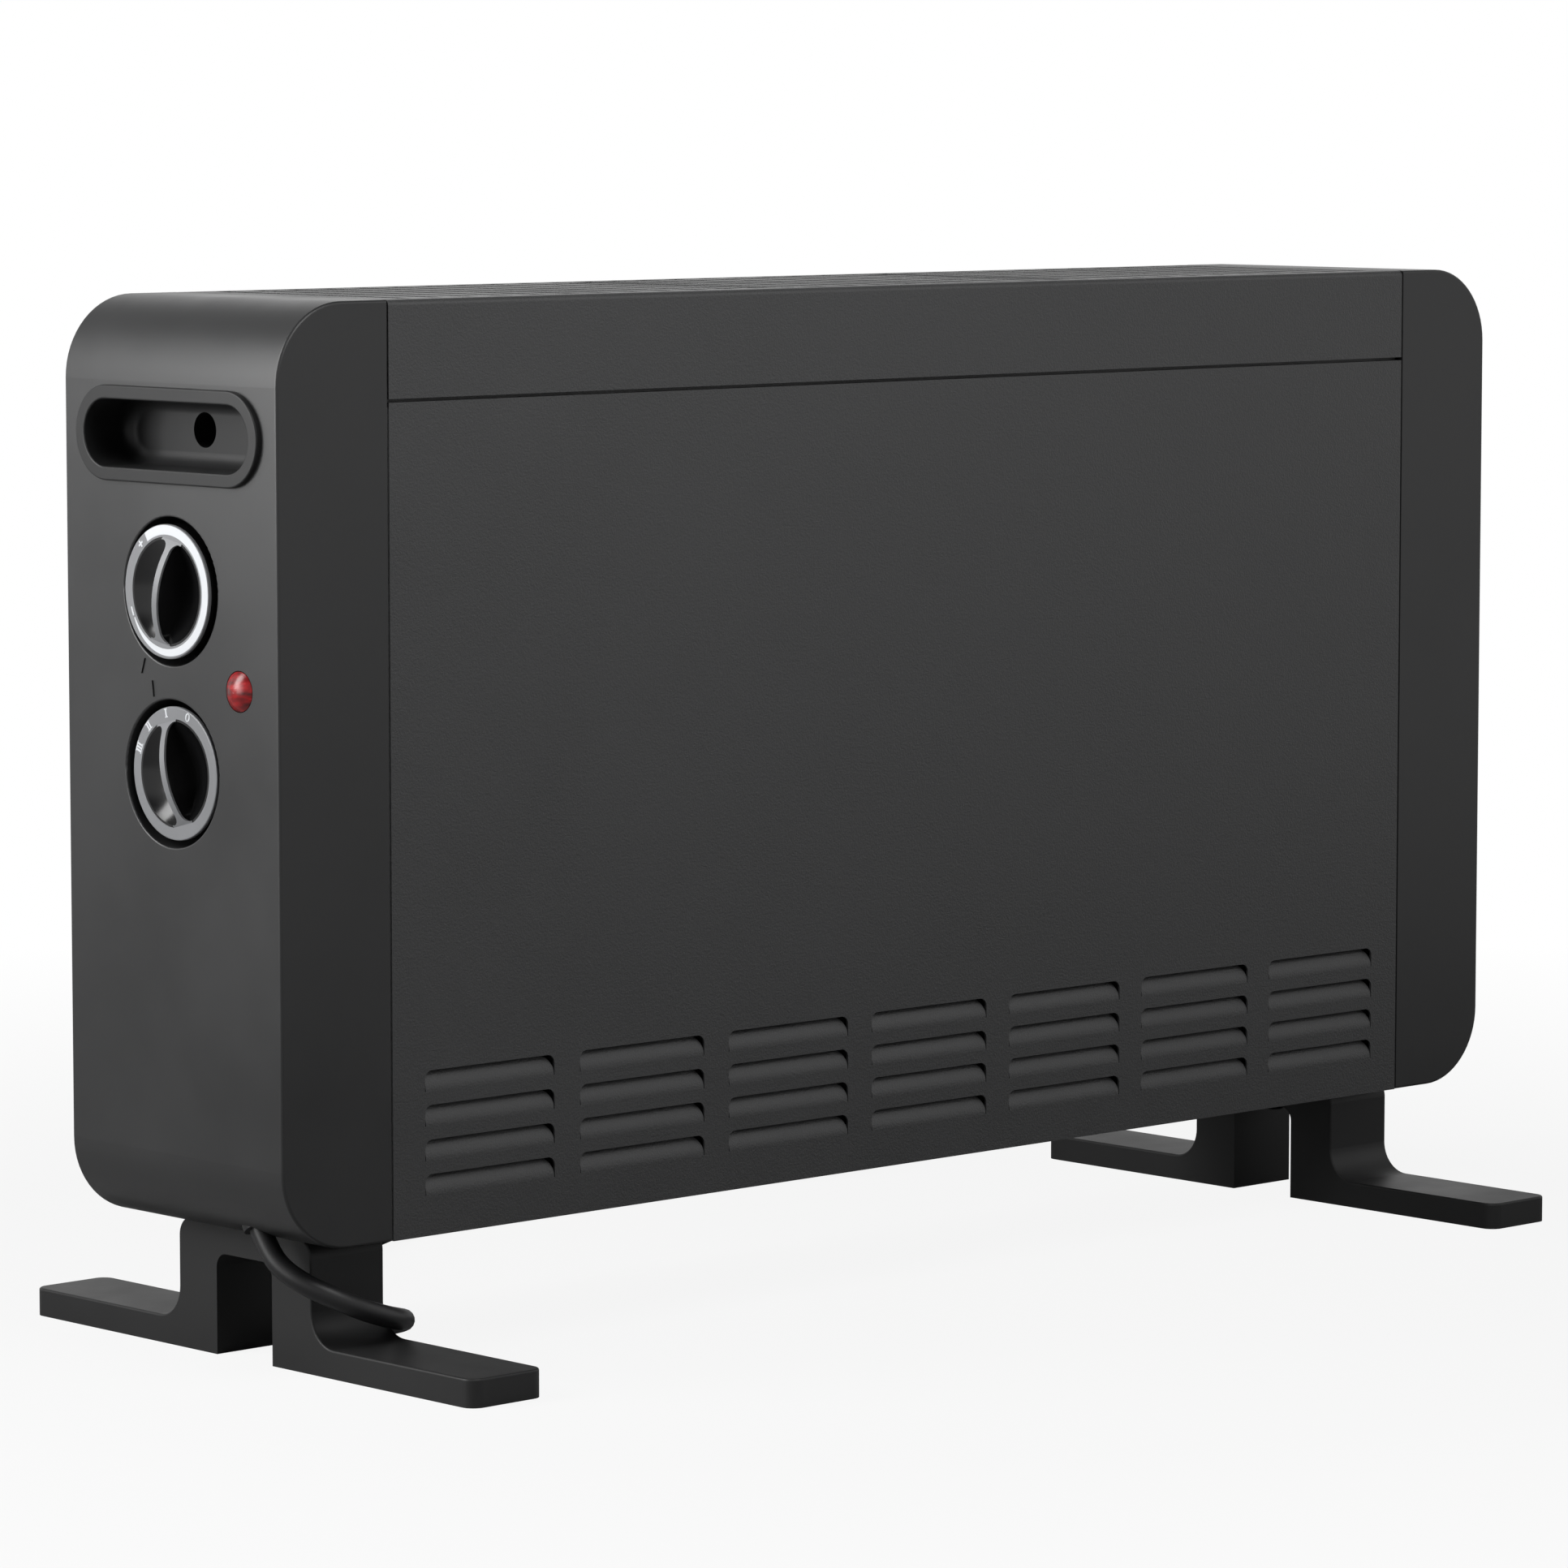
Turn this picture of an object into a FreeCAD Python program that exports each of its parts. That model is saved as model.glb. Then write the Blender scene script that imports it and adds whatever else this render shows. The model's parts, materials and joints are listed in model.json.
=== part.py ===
import FreeCAD, Part
import math
import os

from FreeCAD import Matrix, Placement, Vector

# A free-standing convector heater, in millimetres.
# X runs along the casing, the front faces -Y, Z is up, and the origin is on the floor under the middle.

# Casing
body_length = 600.0
body_depth = 114.0
body_height = 316.0
ground_clearance = 46.0
sheet = 0.8
plate = 1.0
fit_gap = 0.1
seam_gap = 0.8

# End caps
cap_width = 47.0
cap_wall = 2.5
cap_corner_radius = 28.0
cap_edge_radius = 1.0
boss_radius = 5.0
boss_height = 20.0

# Top cover
skirt_height = 33.0
groove_height = 1.2
groove_depth = 3.0
lip_height = 14.0
cover_bend_radius = 2.0
slot_width = 6.5
slot_end_margin = 10.95
slot_margin = 8.0
slots_in_middle = 9
slots_at_each_end = 11
bridge_width = 21.5
bridge_dent_width = 12.0
bridge_dent_depth = 0.4

# Louvres, pressed inwards
louvre_columns = 7
louvre_rows = 4
louvre_end_margin = 14.1
louvre_gap_x = 11.7
louvre_height = 7.2
louvre_pitch_z = 11.8
louvre_base = 13.8
louvre_corner_radius = 3.0
louvre_flap_radius = 5.5
louvre_side_gap = 0.3
louvre_bend_radius = 8.0
louvre_lean_deg = 26.0
louvre_lip = 3.8

# Bottom tray and end plates
tray_flange = 12.0
inlet_width = 9.0
inlet_end_margin = 54.2
inlet_count = 19
inlet_margin = 22.0
plate_flange = 12.0

# Handle recesses
handle_drop = 45.6
handle_length = 88.0
handle_opening = 22.8
handle_rim = 4.7
handle_rim_proud = 2.0
handle_depth = 18.0
handle_wall = 1.6
handle_back_radius = 5.0
handle_rim_radius = 0.6
handle_screw_back = 3.4
handle_screw_rise = 1.2
screw_well_radius = 6.0
screw_well_wall = 2.0
screw_well_floor = 3.0

# Dials, with their levels as shares of the casing's height
thermostat_level = 0.6911
selector_level = 0.4972
thermostat_proud = 1.7
selector_proud = -1.2
thermostat_blade_deg = -11.0
selector_blade_deg = 14.0
well_radius = 25.0
well_depth = 20.0
well_wall = 2.0
well_edge_radius = 0.6
knob_radius = 22.6
knob_depth = 16.0
ring_width = 4.2
ring_thickness = 1.2
ring_edge_radius = 0.5
strip_thickness = 0.8
scoop_margin = 0.8
scoop_depth = 7.0
blade_thickness = 2.6
scoop_corner_radius = 3.0
blade_arch = 5.0
bore_depth = 7.0
pointer_length = 5.4
pointer_width = 2.3
pointer_proud = 0.5
pointer_gap = 2.0
thermostat_pointer_deg = 149.0
selector_pointer_deg = 20.0

# Controls behind the dials
shaft_radius = 3.0
shaft_flat = 2.2
running_clearance = 0.05
neck_radius = 5.0
neck_length = 4.5
thermostat_size = (34.0, 40.0, 17.0)
selector_size = (28.0, 28.0, 17.0)
shaft_seat = 10.0
tab_width = 6.3
tab_thickness = 0.8
tab_length = 8.0
tab_spacing = 8.0
control_screw_radius = 1.5
control_screw_spread = 9.5
control_screw_length = 8.0

# Lamp
lamp_level = 0.592
lamp_inset = 20.7
lens_radius = 6.7
lens_gap = 0.3
lens_flange = 1.8
lens_flange_thickness = 1.2
lens_wall = 1.2
lens_dome = 2.6
bulb_radius = 2.6
lamp_body_radius = 5.0
lamp_body_length = 17.0

# Heating elements
element_levels = (0.187, 0.377)
element_end_gap = 27.0
element_core_width = 28.0
element_core_height = 14.0
fin_length = 24.0
fin_thickness = 1.2
fin_angle_deg = 35.0
stud_radius = 2.5
stud_spacing = 16.0
stud_proud = 11.0
bush_radius = 5.0
bush_flange_radius = 7.0
bush_flange = 2.0
bush_length = 8.0
bush_clearance = 0.1

# Heat shields and limiter
shield_sheet = 0.6
shield_inset = 12.0
shield_base = 6.0
shield_drop = 42.0
shield_flange = 9.0
cutout_level = 0.598
cutout_radius = 8.0
cutout_length = 10.0
cutout_ear = 24.0
cutout_ear_height = 7.0

# Terminal block
terminal_size = (18.0, 34.0, 20.0)
terminal_level = 0.228
terminal_inset = 30.0
terminal_pitch = 10.0
wire_radius = 1.2
core_run = 8.0

# Screws
screw_radius = 2.0
screw_clearance = 0.1
screw_head_radius = 4.0
screw_head = 2.6
screw_dome_radius = 1.5
recess_length = 4.4
recess_width = 1.0
recess_depth = 1.3
foot_screw_length = 28.7
cap_screw_length = 13.0
panel_screw_length = 9.0
panel_screw_rise = 34.0
panel_screw_drop = 27.8

# Feet
foot_width = 32.0
foot_inset = 29.0
foot_reach = 119.0
toe_height = 9.8
toe_corner_radius = 5.0
foot_edge_radius = 0.8
upright_depth = 71.6
upright_fillet = 11.5
upright_top_radius = 7.0
arch_width = 30.0
arch_height = 35.3
arch_radius = 5.0

# Mains cord, with its route chosen by hand and its X from the left end's face
cord_diameter = 7.5
gland_mouth = (17.0, -23.6, 4.3)
gland_lean_deg = 33.0
gland_radius = 5.5
gland_neck = 9.4
gland_flange_radius = 8.0
gland_flange = 2.5
gland_taper = 20.0
gland_tip_radius = 4.2
gland_clearance = 0.2
lead_start = 8.5
lead_route = [
    (17.6, -34.3, 37.4),
    (20.8, -43.1, 32.6),
    (27.3, -50.4, 28.2),
    (36.1, -54.5, 23.8),
    (46.2, -54.6, 20.2),
    (55.9, -50.8, 17.6),
    (63.8, -43.6, 15.4),
    (69.1, -34.2, 12.8),
    (72.4, -23.6, 10.0),
    (76.6, -12.2, 7.2),
    (82.6, 1.2, 5.0),
    (90.8, 17.4, 3.8),
    (101.8, 35.6, 3.8),
    (116.0, 56.6, 3.8),
    (133.0, 77.6, 3.8),
    (152.6, 98.4, 3.8),
    (173.4, 118.4, 3.8),
    (196.8, 138.0, 3.8),
    (223.6, 151.4, 4.1),
    (249.0, 156.4, 5.2),
]
coil_from_end = 290.0
coil_y = 207.0
coil_outer_radius = 49.5
coil_turns_per_layer = 2
coil_turn_pitch = 8.4
coil_layer_pitch = 8.2
coil_lift = 5.65
coil_approach = 15.0
tail_route = [
    (326.0, 157.9, 13.3),
    (339.0, 159.0, 14.8),
    (351.0, 160.0, 17.4),
]
tail_ends = 12.0
tie_width = 9.0
tie_thickness = 1.1
tie_clearance = 0.7

# Plug
plug_from_end = 374.0
plug_y = 160.3
plug_radius = 18.5
plug_lift = 0.1
plug_sleeve = 24.0
plug_sleeve_radius = 5.6
plug_back = 16.0
plug_back_radius = 10.0
plug_front = 20.0
plug_edge_radius = 1.5
pin_radius = 2.4
pin_length = 19.0
pin_spacing = 19.0
pin_root = 6.0

# Worked out from the sizes above
half_length = body_length / 2
half_depth = body_depth / 2
casing_bottom = ground_clearance
casing_top = ground_clearance + body_height
seam_x = half_length - cap_width
panel_half_length = seam_x - seam_gap
skirt_bottom = casing_top - skirt_height
panel_top = skirt_bottom - groove_height
panel_inside = half_depth - sheet
plate_inside = seam_x - plate
slot_groups = slots_in_middle - 1 + 2 * (slots_at_each_end - 1)
slot_span = 2 * (panel_half_length - slot_end_margin - slot_width / 2 - slot_width - bridge_width)
slot_pitch = slot_span / slot_groups
louvre_span = 2 * (panel_half_length - louvre_end_margin)
louvre_width = (louvre_span - (louvre_columns - 1) * louvre_gap_x) / louvre_columns
louvre_pitch_x = louvre_width + louvre_gap_x
inlet_pitch = 2 * (panel_half_length - inlet_end_margin) / (inlet_count - 1)
element_length = 2 * (plate_inside - element_end_gap)
shield_half_gap = half_depth - shield_inset
panel_screw_low = casing_bottom + panel_screw_rise
panel_screw_high = panel_top - panel_screw_drop
panel_screw_rows = (panel_screw_low, (panel_screw_low + panel_screw_high) / 2, panel_screw_high)
well_floor_x = -half_length + well_depth
control_x = well_floor_x + cap_wall
dial_y = 0.0
thermostat_z = casing_bottom + thermostat_level * body_height
selector_z = casing_bottom + selector_level * body_height
lamp_z = casing_bottom + lamp_level * body_height
lamp_forward = half_depth - lamp_inset
element_z = [casing_bottom + level * body_height for level in element_levels]
terminal_low = casing_bottom + terminal_level * body_height
terminal_forward = half_depth - terminal_inset
handle_z = casing_top - handle_drop
handle_screw_z = handle_z + handle_screw_rise
ring_inner = knob_radius - ring_width
scoop_radius = ring_inner - scoop_margin
foot_outer = half_length - foot_inset
foot_screw_rows = (seam_x + boss_radius + cap_wall, seam_x - boss_radius - 2 * plate)
panel_screw_x = seam_x - plate - plate_flange / 2
cord_radius = cord_diameter / 2
screw_hole = screw_radius + screw_clearance
control_screw_hole = control_screw_radius + screw_clearance
coil_x = coil_from_end - half_length
plug_start = plug_from_end - half_length
coil_inner_radius = coil_outer_radius - coil_turn_pitch * coil_turns_per_layer
gland_point = Vector(gland_mouth[0] - half_length, gland_mouth[1], casing_bottom + gland_mouth[2])
gland_inwards = Vector(0, math.sin(math.radians(gland_lean_deg)), math.cos(math.radians(gland_lean_deg)))
origin = Vector(0, 0, 0)
along_x = Vector(1, 0, 0)
along_y = Vector(0, 1, 0)
along_z = Vector(0, 0, 1)
reach_past = 1.0
near = 0.01


# Shared shapes

def box(x0, x1, y0, y1, z0, z1):
    return Part.makeBox(x1 - x0, y1 - y0, z1 - z0, Vector(x0, y0, z0))


def rod_x(radius, x0, x1, y, z):
    return Part.makeCylinder(radius, x1 - x0, Vector(x0, y, z), along_x)


def rod_y(radius, y0, y1, x, z):
    return Part.makeCylinder(radius, y1 - y0, Vector(x, y0, z), along_y)


def rod_z(radius, z0, z1, x, y):
    return Part.makeCylinder(radius, z1 - z0, Vector(x, y, z0), along_z)


def fused(shapes):
    return shapes[0].fuse(shapes[1:]).removeSplitter()


def rounded(shape, radius, wanted):
    edges = [edge for edge in shape.Edges if wanted(edge.BoundBox)]
    return shape.makeFillet(radius, edges)


def is_at(low, high, value):
    return abs(low - value) < near and abs(high - value) < near


def other_end(shape):
    return shape.mirror(origin, along_x)


def other_side(shape):
    return shape.mirror(origin, along_y)


def stadium_x(length, height, x0, x1, z):
    """A bar along X with a stadium-shaped section, level and centred on the dials' line."""
    radius = height / 2
    straight = length / 2 - radius
    low = Vector(x0, 0, z - radius)
    high = Vector(x0, 0, z + radius)
    shift = Vector(0, straight, 0)
    edges = [
        Part.LineSegment(low - shift, low + shift).toShape(),
        Part.Arc(low + shift, Vector(x0, straight + radius, z), high + shift).toShape(),
        Part.LineSegment(high + shift, high - shift).toShape(),
        Part.Arc(high - shift, Vector(x0, -straight - radius, z), low - shift).toShape(),
    ]
    return Part.Face(Part.Wire(edges)).extrude(Vector(x1 - x0, 0, 0))


def on_left_face(shape, y, z, proud):
    """Turns a shape drawn as (right, up, outwards) to sit on the left end's face."""
    face = Placement(Matrix(0, 0, -1, -half_length - proud, -1, 0, 0, y, 0, 1, 0, z, 0, 0, 0, 1))
    shape.Placement = face.multiply(shape.Placement)
    return shape


def arc_from(start, tangent, end):
    """The arc that leaves start along tangent and reaches end."""
    chord = end - start
    sideways = tangent - chord * (tangent.dot(chord) / chord.dot(chord))
    turn = math.atan2(sideways.Length, tangent.dot(chord) / chord.Length)
    rise = chord.Length / 2 * math.tan(turn / 2)
    middle = start + chord / 2 + sideways.normalize() * rise
    return Part.Arc(start, middle, end).toShape()


def biarc(start, start_tangent, end, end_tangent):
    """Two arcs that leave start and reach end along the given unit tangents."""
    gap = end - start
    both = start_tangent + end_tangent
    spread = 2 * (1 - start_tangent.dot(end_tangent))
    along = gap.dot(both)
    reach = (math.sqrt(along * along + spread * gap.dot(gap)) - along) / spread
    joint = (start + end + (start_tangent - end_tangent) * reach) / 2
    joint_tangent = (joint - start - start_tangent * reach).normalize()
    return [arc_from(start, start_tangent, joint), arc_from(joint, joint_tangent, end)]


def tube(path_edges, start, direction, radius):
    circle = Part.Wire([Part.Circle(start, direction, radius).toShape()])
    return Part.Wire(path_edges).makePipeShell([circle], True, False)


def bent_tube(points, radius, name, report):
    """A tube on straight runs joined by arcs as large as the runs allow."""
    route = [Vector(*point) for point in points]
    edges = []
    radii = []
    reached = route[0]
    for before, corner, after in zip(route, route[1:], route[2:]):
        into = corner - before
        out = after - corner
        shorter = min(into.Length, out.Length)
        turn = into.getAngle(out)
        cut = 0.45 * shorter
        radii.append(cut / math.tan(turn / 2))
        arc_start = corner - into.normalize() * cut
        arc_end = corner + out.normalize() * cut
        edges.append(Part.LineSegment(reached, arc_start).toShape())
        edges.append(arc_from(arc_start, into, arc_end))
        reached = arc_end
    edges.append(Part.LineSegment(reached, route[-1]).toShape())
    solid = tube(edges, route[0], route[1] - route[0], radius)
    if report:
        length = sum(edge.Length for edge in edges)
        share = solid.Volume / (math.pi * radius * radius * length)
        print(name, "length", round(length, 1), "volume share", round(share, 4))
        print(name, "radii", [round(bend, 1) for bend in radii])
    return solid


# End caps

def cap_block(inset, seam):
    """The left end's outline pushed through the depth, drawn in by a wall's thickness."""
    low = casing_bottom + inset
    high = casing_top - inset
    end = -half_length + inset
    radius = cap_corner_radius - inset
    diagonal = radius * (1 - math.sqrt(0.5))
    front = -half_depth + inset
    corners = [
        Vector(seam, front, low),
        Vector(end + radius, front, low),
        Vector(end + diagonal, front, low + diagonal),
        Vector(end, front, low + radius),
        Vector(end, front, high - radius),
        Vector(end + diagonal, front, high - diagonal),
        Vector(end + radius, front, high),
        Vector(seam, front, high),
    ]
    edges = [
        Part.LineSegment(corners[0], corners[1]).toShape(),
        Part.Arc(corners[1], corners[2], corners[3]).toShape(),
        Part.LineSegment(corners[3], corners[4]).toShape(),
        Part.Arc(corners[4], corners[5], corners[6]).toShape(),
        Part.LineSegment(corners[6], corners[7]).toShape(),
        Part.LineSegment(corners[7], corners[0]).toShape(),
    ]
    return Part.Face(Part.Wire(edges)).extrude(Vector(0, 2 * -front, 0))


def cap_shell():
    """The left end cap's shell with its handle opening and its screw boss over the foot."""
    outside = cap_block(0, -seam_x)

    def on_rim(bounds):
        front = is_at(bounds.YMin, bounds.YMax, -half_depth)
        back = is_at(bounds.YMin, bounds.YMax, half_depth)
        return (front or back) and not is_at(bounds.XMin, bounds.XMax, -seam_x)

    outside = rounded(outside, cap_edge_radius, on_rim)
    inside = cap_block(cap_wall, -seam_x + reach_past)
    boss = rod_z(boss_radius, casing_bottom, casing_bottom + boss_height, -foot_screw_rows[0], 0)
    shell = fused([outside.cut(inside), boss])
    boss_top = casing_bottom + boss_height
    pilot = rod_z(screw_hole, casing_bottom - reach_past, boss_top + reach_past, -foot_screw_rows[0], 0)
    opening = stadium_x(
        handle_length + 2 * (handle_wall + fit_gap), handle_opening + 2 * (handle_wall + fit_gap),
        -half_length - reach_past, -half_length + cap_wall + reach_past, handle_z
    )
    return shell.cut([pilot, opening])


def dial_well(z):
    """What a dial's well adds to the left cap, and what it takes away."""
    cup = rod_x(well_radius + well_wall, -half_length + cap_wall / 2, control_x, dial_y, z)
    hollow = rod_x(well_radius, -half_length - reach_past, well_floor_x, dial_y, z)
    neck_hole = rod_x(neck_radius + fit_gap, -half_length, control_x + reach_past, dial_y, z)
    screw_holes = [
        rod_x(control_screw_hole, -half_length, control_x + reach_past, dial_y, z + lift)
        for lift in (-control_screw_spread, control_screw_spread)
    ]
    return cup, [hollow, neck_hole] + screw_holes


def pointer(z, angle_deg):
    """A small raised wedge on the left face that points at a dial's centre."""
    tip = well_radius + pointer_gap
    root = tip + pointer_length
    corners = [Vector(0, tip, 0), Vector(pointer_width / 2, root, 0), Vector(-pointer_width / 2, root, 0)]
    outline = Part.makePolygon(corners + [corners[0]])
    wedge = Part.Face(outline).extrude(Vector(0, 0, pointer_proud))
    wedge.rotate(origin, along_z, angle_deg)
    return on_left_face(wedge, dial_y, z, 0)


def left_end_cap():
    shell = cap_shell()
    added = [pointer(thermostat_z, thermostat_pointer_deg), pointer(selector_z, selector_pointer_deg)]
    taken = []
    for z in (thermostat_z, selector_z):
        cup, cuts = dial_well(z)
        added.append(cup)
        taken += cuts
    wall_outside = -half_length - reach_past
    wall_inside = -half_length + cap_wall + reach_past
    lens_hole = rod_x(lens_radius + lens_gap, wall_outside, wall_inside, -lamp_forward, lamp_z)
    hole_start = gland_point - gland_inwards * gland_neck
    cord_hole = Part.makeCylinder(gland_radius + gland_clearance, 2 * gland_neck, hole_start, gland_inwards)
    solid = fused([shell] + added).cut(taken + [lens_hole, cord_hole])

    def well_mouth(bounds):
        return is_at(bounds.XMin, bounds.XMax, -half_length) and is_at(
            bounds.YLength, bounds.ZLength, 2 * well_radius
        )

    return rounded(solid, well_edge_radius, well_mouth)


# Handle recesses

def left_handle_cup():
    """A recessed grip with a proud rim, and the well of the screw that holds the end cap."""
    rim_x = -half_length - handle_rim_proud
    back_x = -half_length + handle_depth
    rim = stadium_x(
        handle_length + 2 * handle_rim, handle_opening + 2 * handle_rim, rim_x, -half_length, handle_z
    )
    cup_length = handle_length + 2 * handle_wall
    cup_height = handle_opening + 2 * handle_wall
    cup = stadium_x(cup_length, cup_height, -half_length, back_x + handle_wall, handle_z)
    well = rod_x(screw_well_radius + screw_well_wall, back_x, -seam_x, handle_screw_back, handle_screw_z)
    hollow = stadium_x(handle_length, handle_opening, rim_x - reach_past, back_x, handle_z)
    hollow = rounded(hollow, handle_back_radius, lambda b: is_at(b.XMin, b.XMax, back_x))
    well_hollow = rod_x(
        screw_well_radius, back_x - reach_past, -seam_x - screw_well_floor, handle_screw_back, handle_screw_z
    )
    screw_way = rod_x(screw_hole, back_x, -seam_x + reach_past, handle_screw_back, handle_screw_z)
    solid = fused([rim, cup, well]).cut([hollow, well_hollow, screw_way])
    return rounded(solid, handle_rim_radius, lambda b: is_at(b.XMin, b.XMax, rim_x))


# Casing sheets

def louvre_window(x, base, side_gap, corner_radius, y0, y1):
    """The opening of one louvre, with its upper corners rounded."""
    half = louvre_width / 2 - side_gap
    window = box(x - half, x + half, y0, y1, base, base + louvre_height)

    def upper_corner(bounds):
        through = bounds.YLength > near and bounds.XLength < near
        return through and is_at(bounds.ZMin, bounds.ZMax, base + louvre_height)

    return rounded(window, corner_radius, upper_corner)


def louvre_flap(x, base):
    """The tongue of one louvre: it bends in from its lower edge and leans away from the front."""
    face = -half_depth
    lean = math.radians(louvre_lean_deg)
    centre_y = face + louvre_bend_radius

    def bend(radius, angle):
        return Vector(x, centre_y - radius * math.cos(angle), base + radius * math.sin(angle))

    along = Vector(0, math.sin(lean), math.cos(lean)) * louvre_lip
    outer = louvre_bend_radius
    inner = louvre_bend_radius - sheet
    edges = [
        Part.Arc(bend(outer, 0), bend(outer, lean / 2), bend(outer, lean)).toShape(),
        Part.LineSegment(bend(outer, lean), bend(outer, lean) + along).toShape(),
        Part.LineSegment(bend(outer, lean) + along, bend(inner, lean) + along).toShape(),
        Part.LineSegment(bend(inner, lean) + along, bend(inner, lean)).toShape(),
        Part.Arc(bend(inner, lean), bend(inner, lean / 2), bend(inner, 0)).toShape(),
        Part.LineSegment(bend(inner, 0), bend(outer, 0)).toShape(),
    ]
    strip = Part.Face(Part.Wire(edges)).extrude(Vector(louvre_width, 0, 0))
    strip.translate(Vector(-louvre_width / 2, 0, 0))
    limit = louvre_window(
        x, base, louvre_side_gap, louvre_flap_radius, face - reach_past, face + louvre_bend_radius
    )
    return strip.common(limit)


def front_panel():
    face = -half_depth
    inside = -panel_inside
    lip_front = face + groove_depth
    lip_back = lip_front + sheet
    step_low = panel_top - sheet
    main = box(-panel_half_length, panel_half_length, face, inside, casing_bottom, panel_top)
    step = box(-panel_half_length, panel_half_length, face, lip_back, step_low, panel_top)
    lip = box(-panel_half_length, panel_half_length, lip_front, lip_back, step_low, panel_top + lip_height)
    windows = []
    flaps = []
    for column in range(louvre_columns):
        x = (column - (louvre_columns - 1) / 2) * louvre_pitch_x
        for row in range(louvre_rows):
            base = casing_bottom + louvre_base + row * louvre_pitch_z
            windows.append(
                louvre_window(x, base, 0, louvre_corner_radius, face - reach_past, inside + reach_past)
            )
            flaps.append(louvre_flap(x, base))
    return fused([main.cut(windows), step, lip] + flaps)


def rear_panel():
    panel = other_side(front_panel())
    holes = [
        rod_y(screw_hole, panel_inside - reach_past, half_depth + reach_past, x, z)
        for x in (-panel_screw_x, panel_screw_x) for z in panel_screw_rows
    ]
    return panel.cut(holes)


def slot_places():
    """The middles of the cover's slots: a group in the middle and one at each end, with a bridge between."""
    middle = [(i - (slots_in_middle - 1) / 2) * slot_pitch for i in range(slots_in_middle)]
    first = middle[-1] + slot_width + bridge_width
    right = [first + i * slot_pitch for i in range(slots_at_each_end)]
    return middle + right + [-x for x in right]


def top_cover():
    outside = box(-panel_half_length, panel_half_length, -half_depth, half_depth, skirt_bottom, casing_top)

    def bend(bounds):
        return bounds.XLength > near and is_at(bounds.ZMin, bounds.ZMax, casing_top)

    outside = rounded(outside, cover_bend_radius, lambda b: bend(b) and b.YLength < near)
    inside = box(
        -half_length, half_length, -panel_inside, panel_inside, skirt_bottom - reach_past, casing_top - sheet
    )
    slot_end = half_depth - slot_margin
    half_slot = slot_width / 2
    slots = [
        box(x - half_slot, x + half_slot, -slot_end, slot_end, skirt_bottom, casing_top + reach_past)
        for x in slot_places()
    ]
    bridge_x = (slots_in_middle - 1) / 2 * slot_pitch + (slot_width + bridge_width) / 2
    dents = [
        box(
            x - bridge_dent_width / 2, x + bridge_dent_width / 2, -slot_end, slot_end,
            casing_top - bridge_dent_depth, casing_top + reach_past
        )
        for x in (-bridge_x, bridge_x)
    ]
    return outside.cut([inside] + slots + dents)


def bottom_tray():
    half = plate_inside - fit_gap
    side = panel_inside - fit_gap
    base = box(-half, half, -side, side, casing_bottom, casing_bottom + plate)
    front_edge = box(-half, half, -side, -side + plate, casing_bottom, casing_bottom + tray_flange)
    collar_top = casing_bottom + tray_flange
    screw_places = (-foot_screw_rows[1], foot_screw_rows[1])
    collars = [rod_z(boss_radius, casing_bottom, collar_top, x, 0) for x in screw_places]
    pilots = [
        rod_z(screw_hole, casing_bottom - reach_past, collar_top + reach_past, x, 0) for x in screw_places
    ]
    inlet_end = half_depth - inlet_margin
    inlets = [
        box(
            x - inlet_width / 2, x + inlet_width / 2, -inlet_end, inlet_end,
            casing_bottom - reach_past, casing_bottom + plate + reach_past
        )
        for x in [(i - (inlet_count - 1) / 2) * inlet_pitch for i in range(inlet_count)]
    ]
    return fused([base, front_edge, other_side(front_edge)] + collars).cut(pilots + inlets)


# End plates

def end_plate():
    """The left end plate without the holes of the heating elements."""
    outer = -seam_x
    inner = -plate_inside
    side = panel_inside - fit_gap
    lip_side = half_depth - groove_depth - sheet - fit_gap
    shoulder = panel_top - 2 * sheet
    lower = box(outer, inner, -side, side, casing_bottom, shoulder)
    upper = box(outer, inner, -lip_side, lip_side, shoulder, casing_top - sheet - fit_gap)
    flange_base = casing_bottom + tray_flange + fit_gap
    flange = box(outer, inner + plate_flange, -side, -side + plate, flange_base, shoulder)
    roof = box(
        outer, inner + plate_flange, -lip_side, lip_side, casing_top - sheet - fit_gap - plate,
        casing_top - sheet - fit_gap
    )
    cap_hole = rod_x(screw_hole, outer - reach_past, inner + reach_past, handle_screw_back, handle_screw_z)
    panel_holes = [
        rod_y(screw_hole, side - 2 * plate, side + reach_past, -panel_screw_x, z)
        for z in panel_screw_rows
    ]
    return fused([lower, upper, flange, other_side(flange), roof]).cut([cap_hole] + panel_holes)


def bush_places(side):
    """Where the heating elements pass the end plates: two studs on the left and one pin on the right."""
    across = (-stud_spacing / 2, stud_spacing / 2) if side < 0 else (0.0,)
    return [(y, z) for z in element_z for y in across]


def bush_holes(side):
    low = min(side * plate_inside, side * seam_x) - reach_past
    high = max(side * plate_inside, side * seam_x) + reach_past
    return [rod_x(bush_radius + bush_clearance, low, high, y, z) for y, z in bush_places(side)]


def left_end_plate():
    return end_plate().cut(bush_holes(-1))


def right_end_plate():
    return other_end(end_plate()).cut(bush_holes(1))


# Heating

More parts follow.
